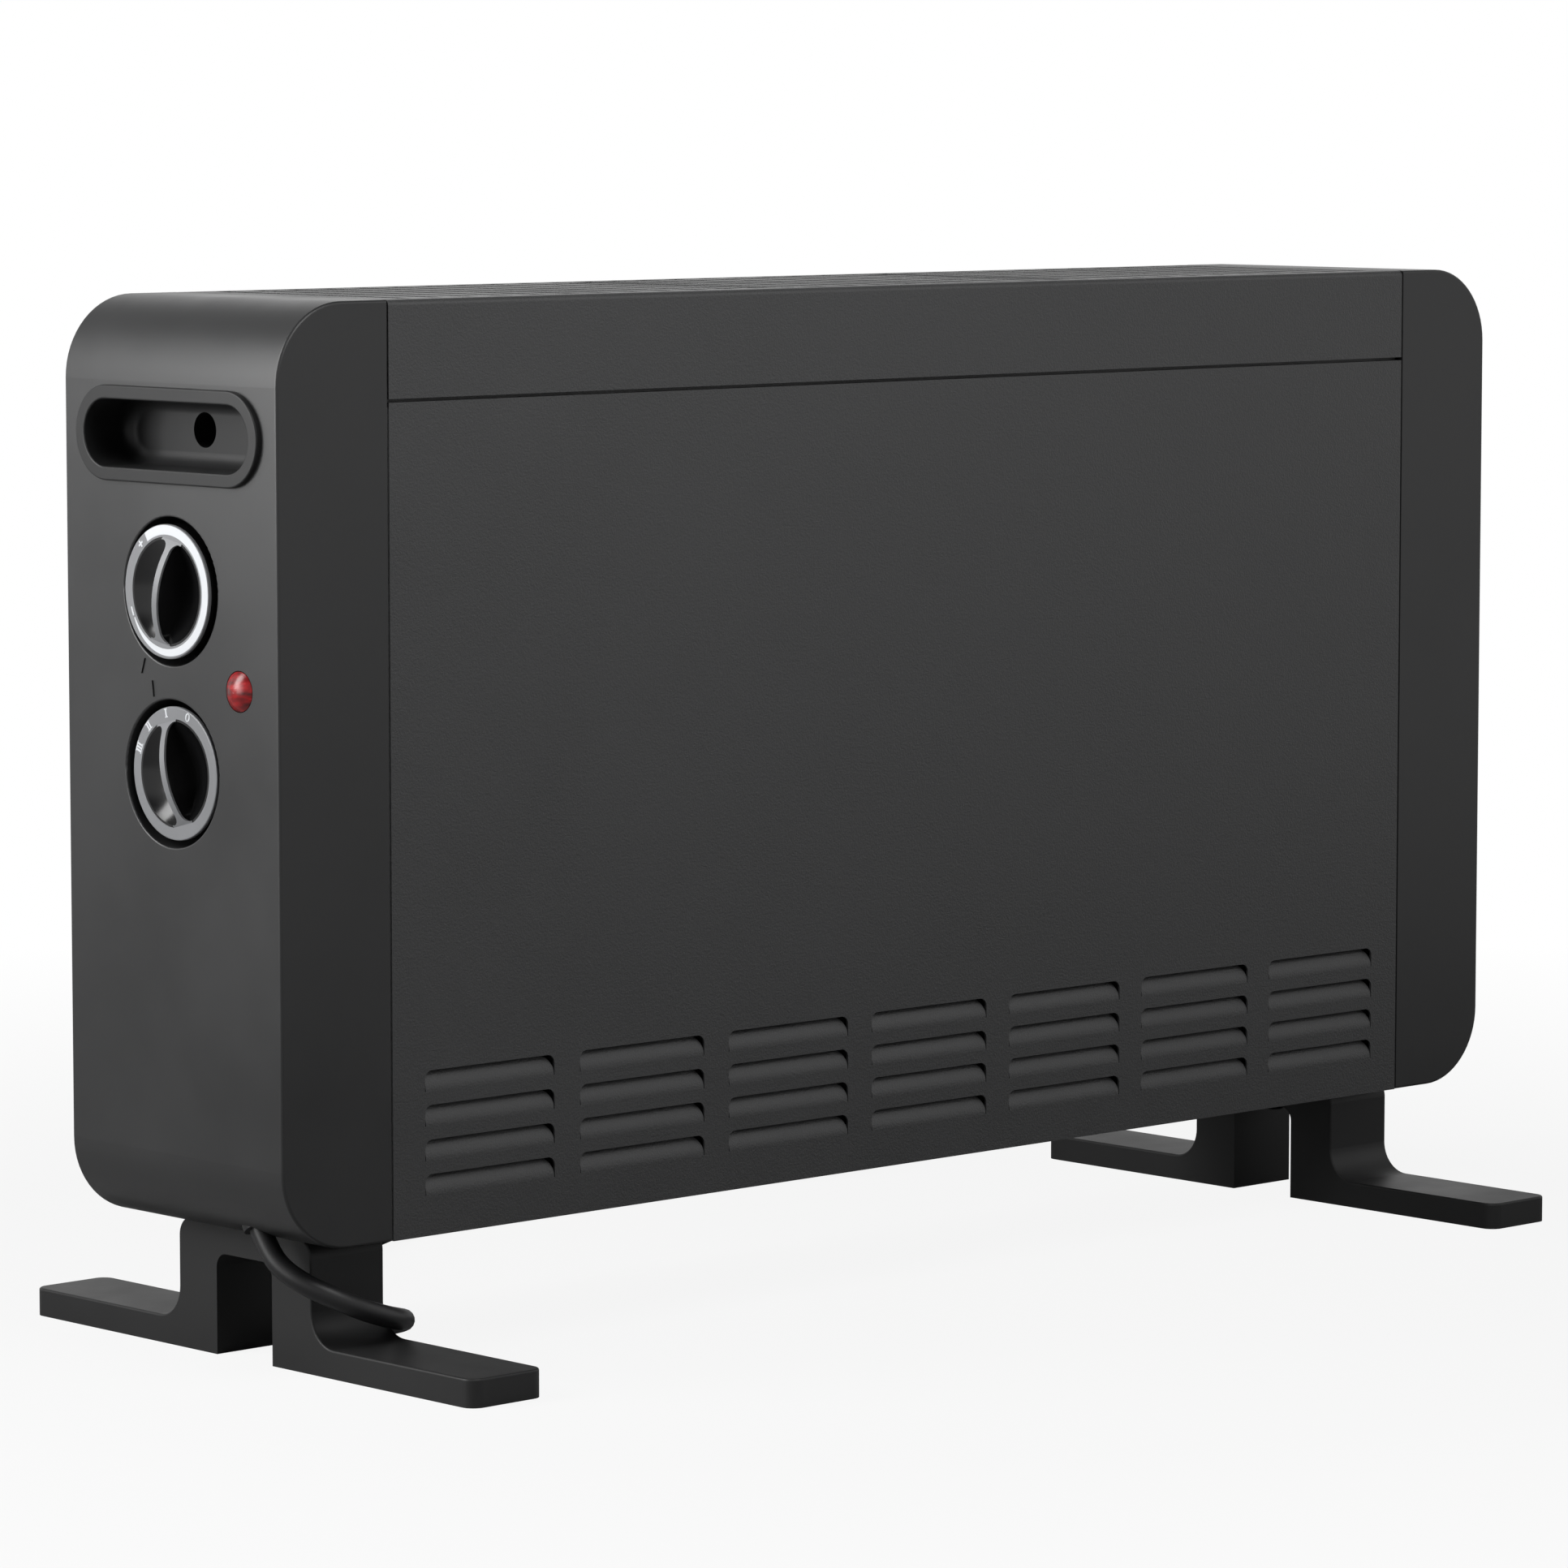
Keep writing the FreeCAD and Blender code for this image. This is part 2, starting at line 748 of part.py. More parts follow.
def heating_element(z):
    """A finned element: two studs at its left end and a carrying pin at its right end."""
    end = element_length / 2
    half_width = element_core_width / 2
    half_height = element_core_height / 2
    core = box(-end, end, -half_width, half_width, z - half_height, z + half_height)
    root = fin_thickness
    fin = box(-end, end, -root, fin_length, -fin_thickness / 2, fin_thickness / 2)
    fins = []
    for across in (1, -1):
        for up in (1, -1):
            turned = fin.copy()
            lean = up * fin_angle_deg if across > 0 else 180 - up * fin_angle_deg
            turned.rotate(origin, along_x, lean)
            turned.translate(Vector(0, across * (half_width - root), z + up * (half_height - root)))
            fins.append(turned)
    studs = [
        rod_x(stud_radius, -seam_x - stud_proud, -end, y, z) for y in (-stud_spacing / 2, stud_spacing / 2)
    ]
    pin = rod_x(stud_radius, end, seam_x + bush_length / 2, 0, z)
    return fused([core, pin] + fins + studs)


def bush(side, y, z):
    """A flanged ceramic bush through an end plate, with its flange outside."""
    face = seam_x
    body = rod_x(bush_radius, face - bush_length / 2, face + bush_length / 2, y, z)
    flange = rod_x(bush_flange_radius, face, face + bush_flange, y, z)
    bore = rod_x(stud_radius + bush_clearance, face - bush_length, face + bush_length, y, z)
    solid = fused([body, flange]).cut(bore)
    return solid if side > 0 else other_end(solid)


def element_bushes():
    return Part.makeCompound([bush(side, y, z) for side in (-1, 1) for y, z in bush_places(side)])


def front_heat_shield():
    half = plate_inside - fit_gap
    low = casing_bottom + shield_base
    high = casing_top - shield_drop
    back = -shield_half_gap
    wall = box(-half, half, back - shield_sheet, back, low, high)
    ends = [
        box(x, x + shield_sheet, back - shield_flange, back, low, high) for x in (-half, half - shield_sheet)
    ]
    return fused([wall] + ends)


def thermal_cutout():
    z = casing_bottom + cutout_level * body_height
    disc = rod_x(cutout_radius, -plate_inside, -plate_inside + cutout_length, 0, z)
    ears = box(
        -plate_inside, -plate_inside + plate, -cutout_ear / 2, cutout_ear / 2,
        z - cutout_ear_height / 2, z + cutout_ear_height / 2
    )
    return fused([disc, ears])


# Dials

def scoop_plan(side, low, high):
    """One scoop's outline beside the grip blade: part of a disc with its two corners rounded."""
    edge = side * blade_thickness / 2
    disc = Part.makeCylinder(scoop_radius, high - low, Vector(0, 0, low))
    start = min(edge, edge + side * 2 * scoop_radius)
    half = Part.makeBox(
        2 * scoop_radius, 4 * scoop_radius, high - low, Vector(start, -2 * scoop_radius, low)
    )
    return rounded(
        disc.common(half), scoop_corner_radius,
        lambda b: is_at(b.XMin, b.XMax, edge) and b.ZLength > near and b.YLength < near
    )


def blade_plan(radius, low, high):
    """The grip blade's outline out to a radius, widened where the scoops' corners are rounded."""
    corner_x = blade_thickness / 2 + scoop_corner_radius
    half = corner_x * scoop_radius / (scoop_radius - scoop_corner_radius)
    disc = Part.makeCylinder(radius, high - low, Vector(0, 0, low))
    strip = box(-half, half, -2 * radius, 2 * radius, low, high)
    scoops = [scoop_plan(side, low - reach_past, high + reach_past) for side in (-1, 1)]
    return disc.common(strip).cut(scoops)


def under_arch(drop):
    """What lies under the blade's arched top, lowered by drop."""
    end = math.sqrt(scoop_radius ** 2 - (blade_thickness / 2) ** 2)
    radius = (end ** 2 + blade_arch ** 2) / (2 * blade_arch)
    return Part.makeCylinder(
        radius - drop, 2 * knob_radius, Vector(-knob_radius, 0, blade_arch - radius), along_x
    )


def shaft_flat_cut(radius, flat, low, high):
    return Part.makeBox(2 * radius, 2 * radius, high - low, Vector(flat, -radius, low))


def knob(z, proud, blade_deg):
    """A dial knob: two scoops with an arched grip blade between them, and a seat for its ring."""
    skirt = Part.makeCylinder(knob_radius, knob_depth - ring_thickness, Vector(0, 0, -knob_depth))
    middle = Part.makeCylinder(ring_inner - fit_gap, knob_depth, Vector(0, 0, -knob_depth))
    bowl_radius = (scoop_radius ** 2 + scoop_depth ** 2) / (2 * scoop_depth)
    bowl = Part.makeSphere(bowl_radius, Vector(0, 0, bowl_radius - scoop_depth))
    scoops = [bowl.common(scoop_plan(side, -knob_depth, reach_past)) for side in (-1, 1)]
    strip_seat = blade_plan(ring_inner, -strip_thickness, reach_past)
    blade = blade_plan(ring_inner - fit_gap, -strip_thickness, blade_arch)
    blade = blade.common(under_arch(strip_thickness))
    bore_radius = shaft_radius + running_clearance
    bore = Part.makeCylinder(bore_radius, bore_depth, Vector(0, 0, -knob_depth))
    bore = bore.cut(shaft_flat_cut(2 * bore_radius, shaft_flat + running_clearance, -knob_depth, 0))
    solid = fused([skirt, middle]).cut(scoops + [bore, strip_seat])
    solid = fused([solid, blade])
    solid.rotate(origin, along_z, blade_deg)
    return on_left_face(solid, dial_y, z, proud)


def dial_ring(z, proud, blade_deg):
    """The grey ring round a knob, in one with the arched strip along the top of its blade."""
    ring = Part.makeCylinder(knob_radius, ring_thickness, Vector(0, 0, -ring_thickness))
    hole = Part.makeCylinder(ring_inner, 2 * ring_thickness, Vector(0, 0, -1.5 * ring_thickness))
    ring = ring.cut(hole)

    def outer_edge(bounds):
        return is_at(bounds.ZMin, bounds.ZMax, 0) and bounds.XLength > 2 * ring_inner + near

    ring = rounded(ring, ring_edge_radius, outer_edge)
    ends = blade_plan(ring_inner + ring_width / 2, -strip_thickness, 0)
    rise = blade_plan(ring_inner, -strip_thickness, blade_arch + reach_past).common(under_arch(0))
    strip = fused([ends, rise]).cut(under_arch(strip_thickness))
    solid = fused([ring, strip])
    solid.rotate(origin, along_z, blade_deg)
    return on_left_face(solid, dial_y, z, proud)


def shaft(z, proud, blade_deg):
    """A control's shaft, from its seat in the control to the bottom of the knob's bore, flat on one side."""
    knob_back = -half_length - proud + knob_depth
    tip = knob_back - bore_depth + fit_gap
    length = control_x + shaft_seat - tip
    bar = Part.makeCylinder(shaft_radius, length, Vector(0, 0, -length))
    bar = bar.cut(shaft_flat_cut(2 * shaft_radius, shaft_flat, -bore_depth, reach_past))
    bar.rotate(origin, along_z, blade_deg)
    return on_left_face(bar, dial_y, z, -half_length - tip)


# Controls

def tabs(x, z, count):
    """Flat terminals that stand down from a control."""
    first = -(count - 1) / 2 * tab_spacing
    half = tab_thickness / 2
    return [
        box(x - tab_width / 2, x + tab_width / 2, y - half, y + half, z - tab_length, z + tab_thickness)
        for y in [first + i * tab_spacing for i in range(count)]
    ]


def control(z, size, tab_count):
    """A control's body behind the well's floor, with the neck that its shaft turns in."""
    width, height, thickness = size
    body = box(control_x, control_x + thickness, -width / 2, width / 2, z - height / 2, z + height / 2)
    neck_start = control_x - neck_length
    neck = rod_x(neck_radius, neck_start, control_x, dial_y, z)
    seat_end = control_x + shaft_seat + fit_gap
    seat = rod_x(shaft_radius + running_clearance, neck_start - reach_past, seat_end, dial_y, z)
    screw_holes = [
        rod_x(control_screw_hole, control_x - reach_past, control_x + control_screw_length, dial_y, z + lift)
        for lift in (-control_screw_spread, control_screw_spread)
    ]
    terminals = tabs(control_x + thickness / 2, z - height / 2, tab_count)
    return fused([body, neck] + terminals).cut([seat] + screw_holes)


def control_screws():
    screws = []
    for z in (thermostat_z, selector_z):
        for lift in (-control_screw_spread, control_screw_spread):
            head = rod_x(
                control_screw_radius * 2, well_floor_x - control_screw_radius, well_floor_x, dial_y, z + lift
            )
            shank = rod_x(
                control_screw_radius, well_floor_x, well_floor_x + control_screw_length, dial_y, z + lift
            )
            screws.append(fused([head, shank]))
    return Part.makeCompound(screws)


# Lamp

def indicator_lens():
    """A hollow domed lens with a flange behind the cap's wall."""
    dome_radius = (lens_radius ** 2 + lens_dome ** 2) / (2 * lens_dome)
    dome_limit = Part.makeSphere(dome_radius, Vector(0, 0, lens_dome - dome_radius))
    barrel = Part.makeCylinder(lens_radius, cap_wall + lens_dome, Vector(0, 0, -cap_wall))
    lower = Part.makeCylinder(lens_radius, cap_wall, Vector(0, 0, -cap_wall))
    upper = barrel.common(dome_limit)
    flange = Part.makeCylinder(
        lens_radius + lens_flange, lens_flange_thickness, Vector(0, 0, -cap_wall - lens_flange_thickness)
    )
    hollow = Part.makeCylinder(
        lens_radius - lens_wall, cap_wall + lens_flange_thickness + reach_past,
        Vector(0, 0, -cap_wall - lens_flange_thickness - reach_past)
    )
    solid = fused([lower, upper, flange]).cut(hollow)
    return on_left_face(solid, -lamp_forward, lamp_z, 0)


def indicator_lamp():
    """A neon lamp: a round holder against the lens's flange, and a glass bulb inside the lens."""
    back = cap_wall + lens_flange_thickness
    holder = Part.makeCylinder(lens_radius, lamp_body_length, Vector(0, 0, -back - lamp_body_length))
    bulb_length = back - bulb_radius - lens_wall / 2
    bulb = Part.makeCylinder(bulb_radius, bulb_length, Vector(0, 0, -back))
    tip = Part.makeSphere(bulb_radius, Vector(0, 0, bulb_length - back))
    return on_left_face(fused([holder, bulb, tip]), -lamp_forward, lamp_z, 0)


# Terminal block and wiring

def terminal_ports():
    first = -terminal_forward - terminal_pitch
    return [first + i * terminal_pitch for i in range(3)]


def terminal_block():
    thickness, width, height = terminal_size
    low = terminal_low
    front = -terminal_forward - width / 2
    face = -seam_x - thickness
    body = box(face, -seam_x, front, front + width, low, low + height)
    screw_wells = [
        rod_x(wire_radius * 2, face - reach_past, face + thickness / 2, y, low + height / 2)
        for y in terminal_ports()
    ]
    return body.cut(screw_wells)


def wiring():
    """The inner wires: supply cores, feeds to the controls and elements, returns, and the earth."""
    block_x = -seam_x - terminal_size[0] / 4
    block_low = terminal_low
    block_high = block_low + terminal_size[2]
    live_y, neutral_y, earth_y = terminal_ports()
    gland_top = gland_point + gland_inwards * (gland_neck + gland_flange + gland_taper)
    core_pitch = 2 * (wire_radius + fit_gap)
    way_up = Vector(block_x, neutral_y, block_low - core_run) - gland_top
    fan = gland_inwards.cross(way_up).normalize()
    cores = []
    for index, y in enumerate((live_y, neutral_y, earth_y)):
        start = gland_top + fan * (core_pitch * (index - 1))
        turn = start + gland_inwards * core_run
        cores.append([start, turn, (block_x, y, block_low - core_run), (block_x, y, block_low)])
    tab_x = control_x + selector_size[2] / 2
    stud_tip = -seam_x - stud_proud
    selector_low = selector_z - selector_size[1] / 2 - tab_length
    thermostat_low = thermostat_z - thermostat_size[1] / 2 - tab_length
    lower_z, upper_z = element_z
    half_stud = stud_spacing / 2
    past_selector = -selector_size[0] / 2 - 2 * core_pitch
    feeds = [
        [
            (block_x, live_y, block_high),
            (block_x, live_y, block_high + core_run),
            (block_x - core_pitch, live_y - core_pitch, (block_high + selector_low) / 2),
            (tab_x, past_selector, selector_low - core_run),
            (tab_x, past_selector - 1, selector_z + selector_size[1] / 2),
            (tab_x, -tab_spacing / 2, thermostat_low - core_run),
            (tab_x, -tab_spacing / 2, thermostat_low),
        ],
        [
            (tab_x, tab_spacing, selector_low),
            (tab_x, tab_spacing, selector_low - core_run),
            (stud_tip - core_run, half_stud, upper_z),
            (stud_tip, half_stud, upper_z),
        ],
        [
            (tab_x, 0, selector_low),
            (tab_x, 0, selector_low - core_run),
            (stud_tip - 2 * core_run, 0, upper_z - 2 * core_run),
            (stud_tip - core_run, half_stud, lower_z),
            (stud_tip, half_stud, lower_z),
        ],
    ]
    returns = [
        [
            (block_x, neutral_y - core_pitch, block_high),
            (block_x, neutral_y - core_pitch, block_high + core_run),
            (stud_tip - core_run, -half_stud, upper_z),
            (stud_tip, -half_stud, upper_z),
        ],
        [
            (block_x, neutral_y + core_pitch, block_high),
            (block_x, neutral_y + core_pitch, block_high + core_run),
            (stud_tip - 2 * core_run, -half_stud, block_high),
            (stud_tip - core_run, -half_stud, lower_z),
            (stud_tip, -half_stud, lower_z),
        ],
    ]
    earth = [
        (block_x, earth_y, block_high),
        (block_x, earth_y, block_high + core_run),
        (block_x - core_run / 2, earth_y + core_run / 2, block_high + 2 * core_run),
        (-seam_x, earth_y + core_run / 2, block_high + 2 * core_run),
    ]
    return Part.makeCompound(
        [bent_tube(points, wire_radius, "wire", False) for points in cores + feeds + returns + [earth]]
    )


# Screws

def screw(length, head_radius):
    """A screw with its shank up Z, and below it a domed head with a cross recess."""
    shank = Part.makeCylinder(screw_radius, length)
    head = Part.makeCylinder(head_radius, screw_head, Vector(0, 0, -screw_head))
    head = rounded(head, screw_dome_radius, lambda b: is_at(b.ZMin, b.ZMax, -screw_head))
    reach = recess_length / 2
    half = recess_width / 2
    recess_top = recess_depth - screw_head
    recess = [
        box(-x, x, -y, y, -screw_head - reach_past, recess_top) for x, y in ((reach, half), (half, reach))
    ]
    return fused([shank, head]).cut(recess)


def foot_screws():
    screws = []
    for x in foot_screw_rows:
        for side in (-1, 1):
            one = screw(foot_screw_length, screw_head_radius)
            one.translate(Vector(side * x, 0, arch_height))
            screws.append(one)
    return Part.makeCompound(screws)


def cap_screws():
    one = screw(cap_screw_length, screw_head_radius)
    one.rotate(origin, along_y, 90)
    one.translate(Vector(-seam_x - screw_well_floor, handle_screw_back, handle_screw_z))
    return Part.makeCompound([one, other_end(one)])


def rear_panel_screws():
    screws = []
    for x in (-panel_screw_x, panel_screw_x):
        for z in panel_screw_rows:
            one = screw(panel_screw_length, screw_head_radius)
            one.rotate(origin, along_x, 90)
            one.translate(Vector(x, half_depth, z))
            screws.append(one)
    return Part.makeCompound(screws)


# Feet

def left_foot():
    """An upright under the seam of the left end cap, with a toe front and back and an arch between."""
    outer = -foot_outer
    inner = outer + foot_width
    half_upright = upright_depth / 2
    toes = box(outer, inner, -foot_reach, foot_reach, 0, toe_height)
    upright = box(outer, inner, -half_upright, half_upright, 0, casing_bottom)
    solid = fused([toes, upright])

    def along(bounds, y, z):
        level = is_at(bounds.YMin, bounds.YMax, y) and is_at(bounds.ZMin, bounds.ZMax, z)
        return level and bounds.XLength > near

    for side in (-1, 1):
        solid = rounded(solid, upright_fillet, lambda b: along(b, side * half_upright, toe_height))
        solid = rounded(solid, upright_top_radius, lambda b: along(b, side * half_upright, casing_bottom))
        solid = rounded(
            solid, toe_corner_radius,
            lambda b: is_at(b.YMin, b.YMax, side * foot_reach) and b.ZLength > near and b.XLength < near
        )
    past_fillet = half_upright + upright_fillet + near

    def upper_edge(bounds):
        flank = is_at(bounds.XMin, bounds.XMax, outer) or is_at(bounds.XMin, bounds.XMax, inner)
        on_toe = max(-bounds.YMin, bounds.YMax) > past_fillet
        toe_top = on_toe and is_at(bounds.ZMin, bounds.ZMax, toe_height)
        return toe_top or (flank and not on_toe)

    solid = rounded(solid, foot_edge_radius, upper_edge)
    half_arch = arch_width / 2
    arch = box(outer - reach_past, inner + reach_past, -half_arch, half_arch, -reach_past, arch_height)
    arch = rounded(arch, arch_radius, lambda b: b.XLength > near and is_at(b.ZMin, b.ZMax, arch_height))
    holes = [
        rod_z(screw_hole, arch_height - reach_past, casing_bottom + reach_past, -x, 0)
        for x in foot_screw_rows
    ]
    return solid.cut([arch] + holes)


# Mains cord

def cord_gland():
    """The strain relief in the end cap's floor: a neck in the slanted hole, a flange and a taper inside."""
    shoulder = gland_point + gland_inwards * gland_neck
    taper_start = shoulder + gland_inwards * gland_flange
    neck = Part.makeCylinder(gland_radius, gland_neck, gland_point, gland_inwards)
    flange = Part.makeCylinder(gland_flange_radius, gland_flange, shoulder, gland_inwards)
    taper = Part.makeCone(gland_radius, gland_tip_radius, gland_taper, taper_start, gland_inwards)
    return fused([neck, flange, taper])


def from_left_end(route):
    return [Vector(x - half_length, y, z) for x, y, z in route]


def coil_start():
    return Vector(coil_x - cord_diameter, coil_y - coil_outer_radius, coil_lift)


def coil_end():
    return Vector(coil_x + cord_diameter, coil_y - coil_outer_radius, coil_lift + coil_layer_pitch)


def coil_point(turns):
    """A point of the coil: it spirals in below, climbs for half a turn and spirals out above."""
    from_middle = abs(turns - coil_turns_per_layer)
    blend = 0.25
    eased = from_middle if from_middle > blend else from_middle ** 2 / (2 * blend) + blend / 2
    radius = coil_inner_radius + coil_turn_pitch * eased
    share = min(max((turns - coil_turns_per_layer + blend) / (2 * blend), 0), 1)
    climb = coil_layer_pitch * share * share * (3 - 2 * share)
    angle = 2 * math.pi * turns - math.pi / 2
    return Vector(coil_x + radius * math.cos(angle), coil_y + radius * math.sin(angle), coil_lift + climb)


def coil_tangent(turns):
    step = 0.001
    return (coil_point(turns + step) - coil_point(turns - step)).normalize()


def cord_coil():
    total = 2 * coil_turns_per_layer
    steps = [i / 4 for i in range(4 * total + 1)]
    edges = []
    first = coil_point(0)
    last = coil_point(total)
    edges.append(Part.LineSegment(coil_start(), first).toShape())
    for low, high in zip(steps, steps[1:]):
        start_tangent = along_x if low == 0 else coil_tangent(low)
        end_tangent = along_x if high == total else coil_tangent(high)
        edges += biarc(coil_point(low), start_tangent, coil_point(high), end_tangent)
    edges.append(Part.LineSegment(last, coil_end()).toShape())
    solid = tube(edges, coil_start(), along_x, cord_radius)
    samples = [coil_point(total * i / 720) for i in range(721)]
    apart = 720 // total // 2
    gap = min(
        samples[i].distanceToPoint(samples[j]) for i in range(721) for j in range(i + apart, 721)
    ) - cord_diameter
    length = sum(edge.Length for edge in edges)
    share = solid.Volume / (math.pi * cord_radius ** 2 * length)
    print("coil length", round(length, 1), "least gap", round(gap, 2), "volume share", round(share, 4))
    return solid


def cord_lead():
    first = [gland_point, gland_point - gland_inwards * lead_start]
    last = [coil_start() - along_x * coil_approach, coil_start()]
    return bent_tube(first + from_left_end(lead_route) + last, cord_radius, "lead", True)


def cord_tail():
    plug_entry = Vector(plug_start, plug_y, plug_axis())
    first = [coil_end(), coil_end() + along_x * tail_ends]
    last = [plug_entry - along_x * tail_ends, plug_entry]
    return bent_tube(first + from_left_end(tail_route) + last, cord_radius, "tail", True)


def cord_tie():
    """A strap round the coil's four turns at its far side."""
    inner_low = coil_lift - cord_radius - tie_clearance
    inner_high = coil_lift + coil_layer_pitch + cord_radius + tie_clearance
    middle = coil_turn_pitch * coil_turns_per_layer / 2
    half = coil_turn_pitch / 2 + cord_radius + tie_clearance
    y = coil_y + coil_inner_radius + middle
    outside = box(
        coil_x - tie_width / 2, coil_x + tie_width / 2, y - half - tie_thickness, y + half + tie_thickness,
        inner_low - tie_thickness, inner_high + tie_thickness
    )
    outside = rounded(outside, cord_radius, lambda b: b.XLength > near)
    inside = box(coil_x - tie_width, coil_x + tie_width, y - half, y + half, inner_low, inner_high)
    inside = rounded(inside, cord_radius - tie_thickness, lambda b: b.XLength > near)
    return outside.cut(inside)


def plug_axis():
    return plug_radius + plug_lift


def plug_body():
    """A round moulded plug on its side, with its bend relief towards the cord."""
    z = plug_axis()
    sleeve_end = plug_start + plug_sleeve
    back_end = sleeve_end + plug_back
    front_end = back_end + plug_front
    sleeve = Part.makeCone(
        cord_radius + tie_thickness, plug_sleeve_radius, plug_sleeve, Vector(plug_start, plug_y, z), along_x
    )
    back = Part.makeCone(plug_back_radius, plug_radius, plug_back, Vector(sleeve_end, plug_y, z), along_x)
    front = rod_x(plug_radius, back_end, front_end, plug_y, z)
    front = rounded(front, plug_edge_radius, lambda b: is_at(b.XMin, b.XMax, front_end))
    sockets = [
        rod_x(pin_radius + fit_gap, front_end - pin_root, front_end + reach_past, plug_y + y, z)
        for y in (-pin_spacing / 2, pin_spacing / 2)
    ]
    return fused([sleeve, back, front]).cut(sockets)


def plug_pins():
    z = plug_axis()
    face = plug_start + plug_sleeve + plug_back + plug_front
    round_start = face + pin_length - pin_radius
    pins = []
    for y in (-pin_spacing / 2, pin_spacing / 2):
        straight = rod_x(pin_radius, face - pin_root, round_start, plug_y + y, z)
        tip = Part.makeSphere(pin_radius, Vector(round_start, plug_y + y, z))
        pins.append(fused([straight, tip]))
    return Part.makeCompound(pins)


pieces = {
    "left_end_cap": left_end_cap(),
    "right_end_cap": other_end(cap_shell()),
    "left_handle_cup": left_handle_cup(),
    "right_handle_cup": other_end(left_handle_cup()),
    "front_panel": front_panel(),
    "rear_panel": rear_panel(),
    "top_cover": top_cover(),
    "bottom_tray": bottom_tray(),
    "left_end_plate": left_end_plate(),
    "right_end_plate": right_end_plate(),
    "lower_heating_element": heating_element(element_z[0]),
    "upper_heating_element": heating_element(element_z[1]),
    "element_bushes": element_bushes(),
    "front_heat_shield": front_heat_shield(),
    "rear_heat_shield": other_side(front_heat_shield()),
    "thermal_cutout": thermal_cutout(),
    "thermostat": control(thermostat_z, thermostat_size, 2),
    "thermostat_shaft": shaft(thermostat_z, thermostat_proud, thermostat_blade_deg),
    "thermostat_knob": knob(thermostat_z, thermostat_proud, thermostat_blade_deg),
    "thermostat_dial_ring": dial_ring(thermostat_z, thermostat_proud, thermostat_blade_deg),
    "selector_switch": control(selector_z, selector_size, 3),
    "selector_shaft": shaft(selector_z, selector_proud, selector_blade_deg),
    "selector_knob": knob(selector_z, selector_proud, selector_blade_deg),
    "selector_dial_ring": dial_ring(selector_z, selector_proud, selector_blade_deg),
    "control_screws": control_screws(),
    "indicator_lens": indicator_lens(),
    "indicator_lamp": indicator_lamp(),
    "terminal_block": terminal_block(),
    "wiring": wiring(),
    "cap_screws": cap_screws(),
    "foot_screws": foot_screws(),
    "rear_panel_screws": rear_panel_screws(),
    "left_foot": left_foot(),
    "right_foot": other_end(left_foot()),
    "cord_gland": cord_gland(),
    "cord_lead": cord_lead(),
    "cord_coil": cord_coil(),
    "cord_tail": cord_tail(),
    "cord_tie": cord_tie(),
    "plug_body": plug_body(),
    "plug_pins": plug_pins(),
}

os.makedirs("parts", exist_ok=True)
for name, shape in pieces.items():
    shape.exportStep(os.path.join("parts", name + ".step"))
    state = "valid" if shape.isValid() else "INVALID"
    print(name, len(shape.Solids), state, round(shape.Volume / 1000, 2), "cm3")
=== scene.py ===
import json
import math

import bmesh
import bpy
from mathutils import Matrix, Vector


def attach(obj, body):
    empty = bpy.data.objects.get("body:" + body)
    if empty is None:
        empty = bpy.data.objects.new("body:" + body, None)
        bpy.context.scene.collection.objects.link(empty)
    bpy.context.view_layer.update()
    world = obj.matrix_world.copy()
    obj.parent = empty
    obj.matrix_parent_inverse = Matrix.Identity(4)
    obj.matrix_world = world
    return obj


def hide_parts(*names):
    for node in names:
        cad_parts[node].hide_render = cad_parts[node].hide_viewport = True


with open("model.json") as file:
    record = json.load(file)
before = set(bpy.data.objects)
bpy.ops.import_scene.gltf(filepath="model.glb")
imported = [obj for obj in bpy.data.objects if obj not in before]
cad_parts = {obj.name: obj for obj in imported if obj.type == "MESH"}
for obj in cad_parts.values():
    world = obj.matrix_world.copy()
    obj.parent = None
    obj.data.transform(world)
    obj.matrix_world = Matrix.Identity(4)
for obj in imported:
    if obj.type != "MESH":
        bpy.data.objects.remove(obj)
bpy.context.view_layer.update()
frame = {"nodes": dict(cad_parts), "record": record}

nodes = frame["nodes"]
MM = 0.001

# The photograph's camera
camera_data = bpy.data.cameras.new("photo_camera")
camera_data.sensor_fit = "HORIZONTAL"
camera_data.sensor_width = 36.0
camera_data.lens = 155.29
camera_data.clip_end = 50.0
camera = bpy.data.objects.new("photo_camera", camera_data)
bpy.context.scene.collection.objects.link(camera)
camera_place = Vector((-1.6954, -1.7834, 0.4339))
view_right = Vector((0.7285, -0.685, 0.0)).normalized()
view_forward = Vector((0.6813, 0.7246, -0.1033)).normalized()
view_up = view_right.cross(view_forward)
turn = Matrix((view_right, view_up, -view_forward)).transposed()
camera.matrix_world = Matrix.Translation(camera_place) @ turn.to_4x4()
bpy.context.scene.camera = camera
bpy.context.scene.view_settings.view_transform = "Standard"


def linked(piece):
    bpy.context.scene.collection.objects.link(piece)
    return piece


